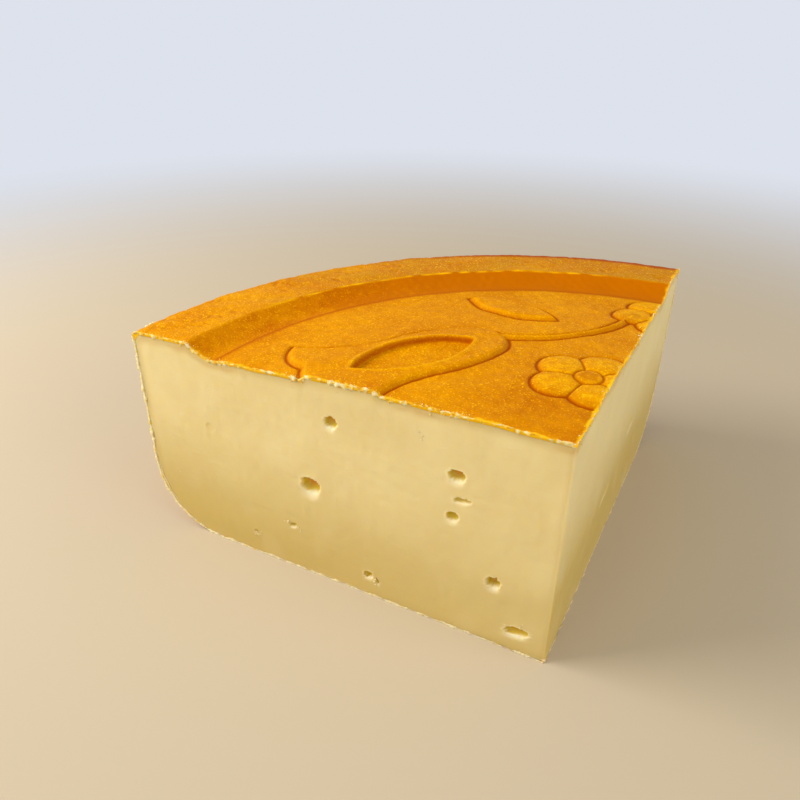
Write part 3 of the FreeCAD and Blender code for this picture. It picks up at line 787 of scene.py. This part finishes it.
def build_torn_edge(sizes, material, name, cut, part, share, breaks, paleness, seed):
    """Crumbled paste along a cut's border: a closed tube whose width and place change at random along it.

    The tube follows the border a little inside it. Its radius at each station is the width times a sum of
    two random patterns, of 1.3 mm and 5 mm, so it swells, thins and breaks up. A third of 0.45 mm dents
    it.
    """
    away, height = torn_line(sizes, cut, part)
    stations, around = len(away), 10
    width = sizes.torn_width * share
    line = np.stack([away, 0 * away, height], -1)
    along = np.gradient(line, axis=0)
    along /= np.linalg.norm(along, axis=1, keepdims=True)
    inwards = np.stack([along[:, 2], 0 * away, -along[:, 0]], -1)
    if part != "top":
        inwards = np.where((inwards * [-1, 0, 1]).sum(-1, keepdims=True) < 0, -inwards, inwards)
    coarse = ripple(line, 1.3 * MM, seed)
    slow = ripple(line, 5 * MM, seed + 1)
    flake = np.clip(0.55 * coarse + 0.35 * slow + 0.15, 0, 1.5)
    size = width * (0.36 + 0.06 * coarse.clip(-1, 1) + 0.46 * flake * breaks + 0.3 * (1 - breaks))
    inset = 0.45 if part == "top" else 0.1
    centre = line + inwards * (size * inset + 0.14 * MM * ripple(line, 2 * MM, seed + 2))[:, None]
    centre[:, 1] += 0.10 * MM * ripple(line, 1.4 * MM, seed + 3)
    turn = np.linspace(0, 2 * math.pi, around, endpoint=False)[:, None]
    ring = np.cos(turn) * inwards[:, None, :] + np.sin(turn) * np.array([0, -0.42, 0])
    rough = 1 + 0.26 * ripple(centre[:, None, :] + ring * width * 3, 0.45 * MM, seed + 4)
    tube = centre[:, None, :] + ring * (size[:, None] * np.clip(rough, 0.3, 1.9))[..., None]
    tube[..., 2] = np.maximum(tube[..., 2], 0.05 * MM)
    rubbed = 0.28 * ripple(tube, 0.9 * MM, seed + 5) + 0.12 * ripple(tube, 5 * MM, seed + 6)
    tone = np.clip(paleness + 0.45 * (flake[:, None] - 0.3) + rubbed, 0, 1)
    numbers = np.arange(stations * around).reshape(stations, around)
    numbers = np.concatenate([numbers, numbers[:, :1]], 1)
    x, y, z = np.concatenate([tube.reshape(-1, 3), tube[:1].mean(1), tube[-1:].mean(1)]).T
    points = np.stack([-x, y, z] if cut == "front" else [-y, x, z], -1)
    fans = np.concatenate([
        np.stack([np.full(around, tone.size), numbers[0, 1:], numbers[0, :-1]], -1),
        np.stack([np.full(around, tone.size + 1), numbers[-1, :-1], numbers[-1, 1:]], -1)])
    tones = {"tone": np.concatenate([tone.ravel(), [0.5, 0.5]])}
    build_piece(name, points, grid_quads(numbers), fans, material, False, tones)


def crumb_form():
    """A small lump: a ball of three rings with six sides, with both poles closed."""
    turn = np.linspace(0, 2 * math.pi, 6, endpoint=False)
    rise = np.radians([-45, 0, 45])
    rings = np.stack([
        np.outer(np.cos(rise), np.cos(turn)), np.outer(np.cos(rise), np.sin(turn)),
        np.outer(np.sin(rise), np.ones(6))], -1).reshape(-1, 3)
    points = np.concatenate([rings, [[0, 0, -1], [0, 0, 1]]])
    numbers = np.arange(18).reshape(3, 6)
    numbers = np.concatenate([numbers, numbers[:, :1]], 1)
    low = np.stack([np.full(6, 18), numbers[0, 1:], numbers[0, :-1]], -1)
    high = np.stack([np.full(6, 19), numbers[2, :-1], numbers[2, 1:]], -1)
    return points, grid_quads(numbers)[:, ::-1], np.concatenate([low, high])


def build_crumbs(name, centres, radii, tones, material, seed):
    """Many small lumps: one form, squashed, turned and dented at random for each place."""
    form, quads, triangles = crumb_form()
    rng = np.random.default_rng(seed)
    count = len(centres)
    turns = np.linalg.qr(rng.normal(size=(count, 3, 3)))[0]
    turns *= np.sign(np.linalg.det(turns))[:, None, None]
    squash = rng.uniform(0.55, 1.35, (count, 1, 3))
    dents = 1 + rng.uniform(-0.22, 0.22, (count, len(form), 1))
    lumps = (form * squash * dents) @ turns * radii[:, None, None] + centres[:, None, :]
    shift = (np.arange(count) * len(form))[:, None, None]
    build_piece(
        name, lumps.reshape(-1, 3), (quads + shift).reshape(-1, 4), (triangles + shift).reshape(-1, 3),
        material, False, {"tone": np.repeat(tones, len(form))})


def scattered_on_edges(sizes, count, seed):
    """Places of crumbs where the top edges of the cuts are torn: thickest at the edge, thinner by a bell
    curve away from it. Where an edge is torn follows the slow pattern of its torn line."""
    rng = np.random.default_rng(seed)
    away = rng.uniform(0.01, 0.99, count) * sizes.wheel_radius
    off = rng.normal(size=count) * 1.1 * MM
    front = rng.random(count) < 0.6
    back, down = np.clip(off, 0, None), np.clip(-off, 0, None)
    line = np.linspace(0, sizes.wheel_radius - 1 * MM, 1400)
    front_top, right_top = (
        np.interp(away, line, top_height(sizes, line, cut)) for cut in ("front", "right"))
    top = np.where(front, front_top, right_top)
    proud = 0.1 * MM
    x, y = np.where(front, -away, -back + proud), np.where(front, back - proud, away)
    border = np.stack([away, 0 * away, top], -1)
    torn = np.where(front, ripple(border, 5 * MM, 72), ripple(border, 5 * MM, 82))
    return np.stack([x, y, top - down + 0.05 * MM], -1)[torn > 0.1]


def scattered_on_face(sizes, seed):
    """Places of crumbs on the front cut, spread by bell curves round their table's places, and last those
    of a flake on the rim's outer edge near the corner."""
    rng = np.random.default_rng(seed)
    places = np.concatenate([
        rng.normal((place, up), spread, (count, 2)) * MM for place, up, spread, count in FACE_FLECKS])
    face = np.stack([-places[:, 0], np.full(len(places), -0.05 * MM), places[:, 1]], -1)
    turn = np.linspace(0.036, 0.060, FLAKE_COUNT)
    reach = sizes.wheel_radius - 1.2 * MM
    height = 0 * turn + sizes.rim_height - 0.5 * MM
    flake = np.stack([-reach * np.cos(turn), reach * np.sin(turn), height], -1)
    return np.concatenate([face, flake])


def add_node(tree, kind, inputs, **settings):
    """Adds a node, sets its properties, and gives each named or numbered input its value or its link."""
    node = tree.nodes.new(kind)
    for setting, value in settings.items():
        setattr(node, setting, value)
    for name, value in inputs.items():
        socket = node.inputs[name]
        if isinstance(value, bpy.types.NodeSocket):
            tree.links.new(value, socket)
        else:
            socket.default_value = value
    return node


def new_material(name):
    """An empty node material, its tree and its Object coordinates."""
    material = bpy.data.materials.new(name)
    material.use_nodes = True
    tree = material.node_tree
    tree.nodes.clear()
    return material, tree, add_node(tree, "ShaderNodeTexCoord", {}).outputs["Object"]


def shade_of(tree, name):
    """The number that a piece's mesh carries under a name."""
    return add_node(tree, "ShaderNodeAttribute", {}, attribute_name=name).outputs["Fac"]


def washed_rind(name, colours):
    """Washed and pressed cheese rind, brushed with annatto: a thin waxy skin, half matt, with a sandy grain
    whose tops take painted glints, and wash that gathers darker in grooves and, with painted shade, on the
    slope. Painted shade also darkens the field near the tip and the far rim, and painted highlights lie on
    the ledge, the bead and the petals."""
    material, tree, place = new_material(name)
    wash, groove, dry, worn, near_cut, stipple = (
        shade_of(tree, shade) for shade in ("wash", "groove", "dry", "worn", "near_cut", "stipple"))
    # patches and mottle of the wash, and the grain of the pressing cloth, which is about half a
    # millimetre and is drawn a little coarser so that it shows; its tops take painted glints
    patches, mottle, grain = (
        add_node(tree, "ShaderNodeTexNoise", {
            "Vector": place, "Scale": 1 / size, "Detail": detail}).outputs["Fac"]
        for size, detail in ((26 * MM, 3.0), (3.5 * MM, 4.0), (0.65 * MM, 1.6)))
    pits = add_node(tree, "ShaderNodeTexVoronoi", {"Vector": place, "Scale": 1 / (1.2 * MM)})
    up = add_node(tree, "ShaderNodeSeparateXYZ", {0: place}).outputs["Z"]
    broad, fine, speck, glint, gathered_wash, on_rim, gloss = (
        add_node(tree, "ShaderNodeMapRange", {
            "Value": value, "From Min": start, "From Max": end, "To Min": low, "To Max": high,
        }).outputs["Result"]
        for value, start, end, low, high in (
            (patches, 0.35, 0.65, 0.0, 0.38), (mottle, 0.3, 0.7, 0.0, 0.40), (grain, 0.38, 0.26, 0.0, 0.28),
            (grain, 0.58, 0.70, 0.0, 0.8), (groove, 0.15, 0.85, 0.0, 0.9), (up, 72 * MM, 80 * MM, 0.0, 1.0),
            (grain, 0.35, 0.65, 0.55, 0.36)))
    depth = add_node(tree, "ShaderNodeMath", {0: broad, 1: fine}, operation="ADD").outputs["Value"]
    # painted shade: thick wash on the slope, the tip and the foot darkens towards the deep colour, over the
    # patches
    deep_and_shaded = add_node(
        tree, "ShaderNodeMath", {0: wash, 1: 0.7, 2: depth}, operation="MULTIPLY_ADD", use_clamp=True)
    # a thick wash and painted shade even out the grain and its painted glints; thin wash brings more glints
    bare = add_node(tree, "ShaderNodeMath", {0: wash, 1: -0.85, 2: 1.0}, operation="MULTIPLY_ADD")
    # painted glints: the grain's tops and the painted highlights lighten towards the glint colour
    rubbed = add_node(
        tree, "ShaderNodeMath", {0: glint, 1: bare.outputs["Value"], 2: worn}, operation="MULTIPLY_ADD",
        use_clamp=True)
    # inputs 6 and 7 of a mix are its two colours, and its output 2 is the mixed one
    cut_skin = add_node(
        tree, "ShaderNodeMix", {"Factor": on_rim, 6: colours.torn, 7: colours.rind_cut}, data_type="RGBA")
    colour = colours.rind
    for share, layer in (
            (dry, colours.rind_dry), (deep_and_shaded.outputs["Value"], colours.rind_deep),
            (speck, colours.rind_speck), (rubbed.outputs["Value"], colours.rind_painted_glint),
            (gathered_wash, colours.rind_groove), (near_cut, cut_skin.outputs[2])):
        mixed = add_node(tree, "ShaderNodeMix", {"Factor": share, 6: colour, 7: layer}, data_type="RGBA")
        colour = mixed.outputs[2]
    dots = add_node(tree, "ShaderNodeMath", {0: stipple, 1: pits.outputs["Distance"]}, operation="MULTIPLY")
    bumps = grain
    for pattern in (dots.outputs["Value"], mottle):
        added = add_node(tree, "ShaderNodeMath", {0: pattern, 1: 0.8, 2: bumps}, operation="MULTIPLY_ADD")
        bumps = added.outputs["Value"]
    evened = add_node(tree, "ShaderNodeMath", {0: bumps, 1: bare.outputs["Value"]}, operation="MULTIPLY")
    bump = add_node(tree, "ShaderNodeBump", {
        "Height": evened.outputs["Value"], "Strength": 0.5, "Distance": 0.5 * MM})
    shader = add_node(tree, "ShaderNodeBsdfPrincipled", {
        "Base Color": colour, "Roughness": gloss, "IOR": 1.46, "Specular Tint": (1.0, 0.55, 0.05, 1.0),
        "Specular IOR Level": 0.02, "Normal": bump.outputs["Normal"]})
    add_node(tree, "ShaderNodeOutputMaterial", {"Surface": shader.outputs["BSDF"]})
    return material


def cut_paste(name, colours):
    """Semi-hard cheese paste, cut with a wide knife: close, smooth and a little greasy, so it lets light in
    for some millimetres. Its eyes take painted shade and a painted glow, and their lips and the pale smears
    painted highlights. It is drier and darker just under the rind, with painted shade near the heel and the
    underside, and darker low down, partly denser paste and partly painted shade."""
    material, tree, place = new_material(name)
    eye, eye_highlight, rind_gap, smear_and_sheen, settled_and_shade, rubbed = (shade_of(tree, shade) for shade in PASTE_SHADES)
    # clouds in the paste, the curd's own grain, and the knife's marks
    clouds, curd, marks = (
        add_node(tree, "ShaderNodeTexNoise", {
            "Vector": place, "Scale": 1 / size, "Detail": detail}).outputs["Fac"]
        for size, detail in ((22 * MM, 3.0), (1.6 * MM, 3.0), (6.5 * MM, 2.0)))
    # near the rind the paste darkens: drier paste, with painted shade near the heel and the underside
    under_rind, cloudy, deep = (
        add_node(tree, "ShaderNodeMapRange", {
            "Value": value, "From Min": start, "From Max": end, "To Min": low, "To Max": high},
            interpolation_type=kind).outputs["Result"]
        for value, start, end, low, high, kind in (
            (rind_gap, 0.0, 4.5 * MM, 0.5, 0.0, "SMOOTHSTEP"), (clouds, 0.35, 0.65, 0.0, 0.22, "LINEAR"),
            (eye, 1.0, 1.6, 0.0, 1.0, "LINEAR")))
    dry = add_node(tree, "ShaderNodeMath", {0: under_rind, 1: cloudy}, operation="ADD", use_clamp=True)
    drawn = add_node(tree, "ShaderNodeMath", {0: rubbed, 1: 0.3}, operation="MULTIPLY")
    smeared_sheen = add_node(tree, "ShaderNodeMath", {0: smear_and_sheen, 1: 0.3}, operation="MULTIPLY").outputs["Value"]
    # painted highlight: the eyes' lips and the pale smears lighten towards the highlight colour
    highlighted = add_node(
        tree, "ShaderNodeMath", {0: eye_highlight, 1: 0.8, 2: smeared_sheen}, operation="MULTIPLY_ADD", use_clamp=True)
    # painted glow in an eye's wall, deepening to painted shade in a deep eye's middle
    wall = add_node(tree, "ShaderNodeMix", {
        "Factor": deep, 6: colours.paste_eye_glow, 7: colours.paste_hollow}, data_type="RGBA")
    colour = colours.paste
    for share, layer in (
            (settled_and_shade, colours.paste_low_shaded), (dry.outputs["Value"], colours.paste_edge),
            (drawn.outputs["Value"], colours.paste_rubbed), (highlighted.outputs["Value"], colours.paste_lip_highlight),
            (eye, wall.outputs[2])):
        mixed = add_node(tree, "ShaderNodeMix", {"Factor": share, 6: colour, 7: layer}, data_type="RGBA")
        colour = mixed.outputs[2]
    bumps = add_node(tree, "ShaderNodeMath", {0: marks, 1: 1.5, 2: curd}, operation="MULTIPLY_ADD")
    bump = add_node(tree, "ShaderNodeBump", {
        "Height": bumps.outputs["Value"], "Strength": 0.12, "Distance": 0.6 * MM})
    shader = add_node(tree, "ShaderNodeBsdfPrincipled", {
        "Base Color": colour, "Roughness": 0.46, "IOR": 1.45, "Normal": bump.outputs["Normal"],
        "Subsurface Weight": 1.0, "Subsurface Scale": 1.4 * MM, "Subsurface Radius": (1.2, 1.0, 0.55)})
    add_node(tree, "ShaderNodeOutputMaterial", {"Surface": shader.outputs["BSDF"]})
    return material


def crumbled_paste(name, colours):
    """Paste crumbled by the knife where it left the rind: dry, matt and pale, with some wash rubbed into
    it."""
    material, tree, place = new_material(name)
    grit = add_node(tree, "ShaderNodeTexNoise", {"Vector": place, "Scale": 1 / (0.6 * MM), "Detail": 3.0})
    ramp = add_node(tree, "ShaderNodeValToRGB", {"Fac": shade_of(tree, "tone")})
    stops = ramp.color_ramp.elements
    stops[0].position, stops[0].color = 0.08, colours.rind
    stops[1].position, stops[1].color = 0.85, colours.torn
    stops.new(0.32).color = colours.rind_cut
    bump = add_node(tree, "ShaderNodeBump", {
        "Height": grit.outputs["Fac"], "Strength": 0.5, "Distance": 0.3 * MM})
    shader = add_node(tree, "ShaderNodeBsdfPrincipled", {
        "Base Color": ramp.outputs["Color"], "Roughness": 0.6, "IOR": 1.45, "Normal": bump.outputs["Normal"],
        "Subsurface Weight": 0.5, "Subsurface Scale": 1.0 * MM, "Subsurface Radius": (1.5, 1.0, 0.35)})
    add_node(tree, "ShaderNodeOutputMaterial", {"Surface": shader.outputs["BSDF"]})
    return material


def seen_directly(tree):
    """1 for what the camera, a reflection or a clear body shows, 0 for what only gives light."""
    path = add_node(tree, "ShaderNodeLightPath", {})
    seen = path.outputs["Is Camera Ray"]
    for kind in ("Is Glossy Ray", "Is Transmission Ray"):
        either = add_node(tree, "ShaderNodeMath", {0: seen, 1: path.outputs[kind]}, operation="MAXIMUM")
        seen = either.outputs["Value"]
    return seen


def matt_card(name, colours):
    """Uncoated card: matt and even, so the floor shows nothing but the cheese's shadow. Far from the
    object it is seen as a pale even background, which gives no light."""
    material, tree, place = new_material(name)
    card = add_node(tree, "ShaderNodeBsdfPrincipled", {
        "Base Color": colours.floor, "Roughness": 0.9, "Specular IOR Level": 0.1})
    distance = add_node(tree, "ShaderNodeVectorMath", {0: place}, operation="LENGTH")
    far = add_node(tree, "ShaderNodeMapRange", {
        "Value": distance.outputs["Value"], "From Min": FLOOR_FADES[0], "From Max": FLOOR_FADES[1]},
        interpolation_type="SMOOTHSTEP")
    shown = add_node(
        tree, "ShaderNodeMath", {0: far.outputs["Result"], 1: seen_directly(tree)}, operation="MULTIPLY")
    even = add_node(tree, "ShaderNodeEmission", {"Color": colours.background, "Strength": 1.0})
    mixed = add_node(tree, "ShaderNodeMixShader", {
        0: shown.outputs["Value"], 1: card.outputs["BSDF"], 2: even.outputs["Emission"]})
    add_node(tree, "ShaderNodeOutputMaterial", {"Surface": mixed.outputs["Shader"]})
    return material


MATERIALS = {
    "washed_annatto_rind": washed_rind,
    "semi_hard_cheese_paste": cut_paste,
    "crumbled_cheese_paste": crumbled_paste,
    "matt_floor_card": matt_card,
}


def shared_material(context, name):
    """A material that several pieces share, made the first time it is asked for."""
    return bpy.data.materials.get(name) or MATERIALS[name](name, context.scene.cheese_colours)


class CHEESE_OT_paste(bpy.types.Operator):
    """Add the body of paste with its two cuts and its eyes"""

    bl_idname = "cheese.add_paste"
    bl_label = "Add paste"

    def execute(self, context):
        build_paste(context.scene.cheese_sizes, shared_material(context, "semi_hard_cheese_paste"))
        return {"FINISHED"}


class CHEESE_OT_rind(bpy.types.Operator):
    """Add the rind: the moulded field, the rim and heel, and the underside"""

    bl_idname = "cheese.add_rind"
    bl_label = "Add rind"

    def execute(self, context):
        material = shared_material(context, "washed_annatto_rind")
        for build in (build_rind_face, build_rind_rim, build_rind_base):
            build(context.scene.cheese_sizes, material)
        return {"FINISHED"}


class CHEESE_OT_torn_edges(bpy.types.Operator):
    """Add the crumbled lines along the borders of the two cuts"""

    bl_idname = "cheese.add_torn_edges"
    bl_label = "Add torn edges"

    def execute(self, context):
        material = shared_material(context, "crumbled_cheese_paste")
        for edge in TORN_EDGES:
            build_torn_edge(context.scene.cheese_sizes, material, *edge)
        return {"FINISHED"}


class CHEESE_OT_crumbs(bpy.types.Operator):
    """Add loose crumbs along the top edges and on the front cut"""

    bl_idname = "cheese.add_crumbs"
    bl_label = "Add crumbs"

    def execute(self, context):
        sizes = context.scene.cheese_sizes
        edge, face = scattered_on_edges(sizes, CRUMB_COUNT, 111), scattered_on_face(sizes, 114)
        centres = np.concatenate([edge, face])
        rng = np.random.default_rng(112)
        radii = MM * (0.07 + 0.26 * rng.random(len(centres)) ** 3)
        tones = rng.uniform(0.1, 0.85, len(centres))
        radii[len(edge):], tones[len(edge):] = rng.uniform(0.15 * MM, 0.4 * MM, len(face)), 0.9
        radii[-FLAKE_COUNT:] = rng.uniform(0.5 * MM, 0.8 * MM, FLAKE_COUNT)
        material = shared_material(context, "crumbled_cheese_paste")
        build_crumbs("edge_crumbs", centres, radii, tones, material, 113)
        return {"FINISHED"}


class CHEESE_OT_stage(bpy.types.Operator):
    """Add the floor, the lights, the world and the camera"""

    bl_idname = "cheese.add_stage"
    bl_label = "Add stage"

    def execute(self, context):
        scene = context.scene
        mesh = bpy.data.meshes.new("floor")
        side = FLOOR_SIDE / 2
        corners = [(-side, -side, 0), (side, -side, 0), (side, side, 0), (-side, side, 0)]
        mesh.from_pydata(corners, [], [(0, 1, 2, 3)])
        mesh.materials.append(shared_material(context, "matt_floor_card"))
        floor = bpy.data.objects.new("floor", mesh)
        scene.collection.objects.link(floor)
        scene.world = soft_room(scene.cheese_colours)
        for light in LIGHTS:
            add_light(scene, *light)
        add_camera(scene)
        return {"FINISHED"}


def soft_room(colours):
    """The world: an even, dim, nearly white light from all round, seen as the plain background."""
    world = bpy.data.worlds.new("soft_room")
    world.use_nodes = True
    tree = world.node_tree
    tree.nodes.clear()
    light = add_node(tree, "ShaderNodeBackground", {"Color": linear("fbf8f2"), "Strength": 0.5})
    seen = add_node(tree, "ShaderNodeBackground", {"Color": colours.background, "Strength": 1.0})
    mixed = add_node(tree, "ShaderNodeMixShader", {
        0: seen_directly(tree), 1: light.outputs["Background"], 2: seen.outputs["Background"]})
    add_node(tree, "ShaderNodeOutputWorld", {"Surface": mixed.outputs["Shader"]})
    return world


def add_light(scene, name, place, side, power, code):
    """A square soft light that looks at the middle of the object."""
    lamp = bpy.data.lights.new(name, "AREA")
    lamp.shape, lamp.size, lamp.energy, lamp.color = "SQUARE", side, power, linear(code)[:3]
    light = bpy.data.objects.new(name, lamp)
    towards = (CAD_BOUNDS[0] + CAD_BOUNDS[1]) / 2 - Vector(place)
    light.matrix_world = Matrix.Translation(place) @ towards.to_track_quat("-Z", "Y").to_matrix().to_4x4()
    scene.collection.objects.link(light)


def add_camera(scene):
    """The camera, placed in wheel radii from the tip and turned by yaw, pitch and roll."""
    data = bpy.data.cameras.new("camera")
    data.lens, data.sensor_width, data.clip_start, data.clip_end = CAMERA_LENS, 36.0, 0.01, 20.0
    camera = bpy.data.objects.new("camera", data)
    place = Matrix.Translation((APEX + np.array(CAMERA_PLACE) * WHEEL_RADIUS).tolist())
    yaw, pitch, roll = (
        Matrix.Rotation(math.radians(turn), 4, axis)
        for turn, axis in ((CAMERA_YAW, "Z"), (CAMERA_PITCH, "X"), (CAMERA_ROLL, "Z")))
    camera.matrix_world = place @ yaw @ pitch @ roll
    scene.collection.objects.link(camera)
    scene.camera = camera
    scene.view_settings.view_transform = "Standard"


class CHEESE_PT_panel(bpy.types.Panel):
    """The steps that build the cheese, and its sizes and colours"""

    bl_idname = "CHEESE_PT_panel"
    bl_label = "Cheese quarter wheel"
    bl_space_type = "VIEW_3D"
    bl_region_type = "UI"
    bl_category = "Cheese"

    def draw(self, context):
        for operator in STEPS:
            self.layout.operator(operator.bl_idname)
        for group in (context.scene.cheese_sizes, context.scene.cheese_colours):
            box = self.layout.box()
            for name in group.__annotations__:
                box.prop(group, name)


STEPS = (CHEESE_OT_paste, CHEESE_OT_rind, CHEESE_OT_torn_edges, CHEESE_OT_crumbs, CHEESE_OT_stage)
CLASSES = (CheeseSizes, CheeseColours, *STEPS, CHEESE_PT_panel)


def register():
    """Registers the classes and gives the scene its sizes and colours."""
    for item in CLASSES:
        bpy.utils.register_class(item)
    bpy.types.Scene.cheese_sizes = PointerProperty(type=CheeseSizes)
    bpy.types.Scene.cheese_colours = PointerProperty(type=CheeseColours)


def unregister():
    """Takes the sizes and colours off the scene and unregisters the classes."""
    del bpy.types.Scene.cheese_colours
    del bpy.types.Scene.cheese_sizes
    for item in reversed(CLASSES):
        bpy.utils.unregister_class(item)


def main():
    """Builds every piece in order."""
    register()
    bpy.ops.cheese.add_paste()
    bpy.ops.cheese.add_rind()
    bpy.ops.cheese.add_torn_edges()
    bpy.ops.cheese.add_crumbs()
    bpy.ops.cheese.add_stage()


if __name__ == "__main__":
    main()
